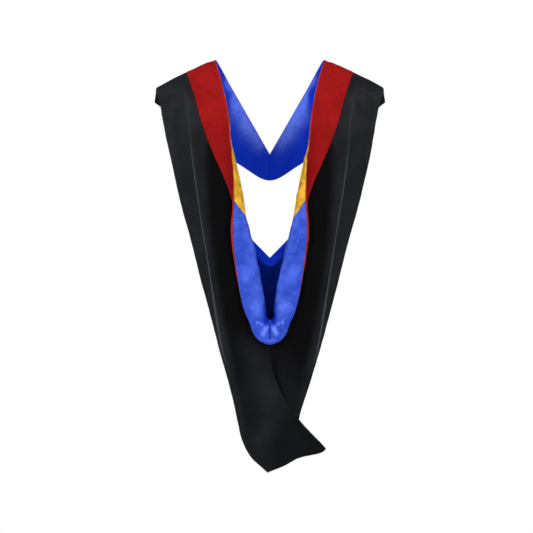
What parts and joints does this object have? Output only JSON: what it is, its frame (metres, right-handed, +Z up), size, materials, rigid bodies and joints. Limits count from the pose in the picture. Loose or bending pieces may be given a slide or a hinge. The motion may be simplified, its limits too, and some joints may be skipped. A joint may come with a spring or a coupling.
{
  "type": "academic hood",
  "caption": "Black graduation hood as worn down the back, with a red velvet edge and the blue satin lining and gold chevron turned out.",
  "frame": {"origin": "midway between the two neck points, where the velvet edges cross the tops of the shoulders", "axes": "+Z up, +Y to the wearer's front, +X to the wearer's right; seen from -Y, as in the picture, +X is to the right"},
  "size_m": [0.5646, 0.2577, 1.0034],
  "materials": {
    "velvet": "crimson velvet with a short pile",
    "shell": "matte black polyester cloth with a fine weave",
    "lining": "royal blue satin",
    "chevron": "old gold satin"
  },
  "bodies": {
    "root": {"velvet_left": "velvet", "velvet_right": "velvet", "shell_left": "shell", "shell_right": "shell", "neck_lining_left": "lining", "neck_lining_right": "lining", "chevron_left": "chevron", "chevron_right": "chevron", "back_lining_left": "lining", "back_lining_right": "lining"}
  },
  "joints": []
}
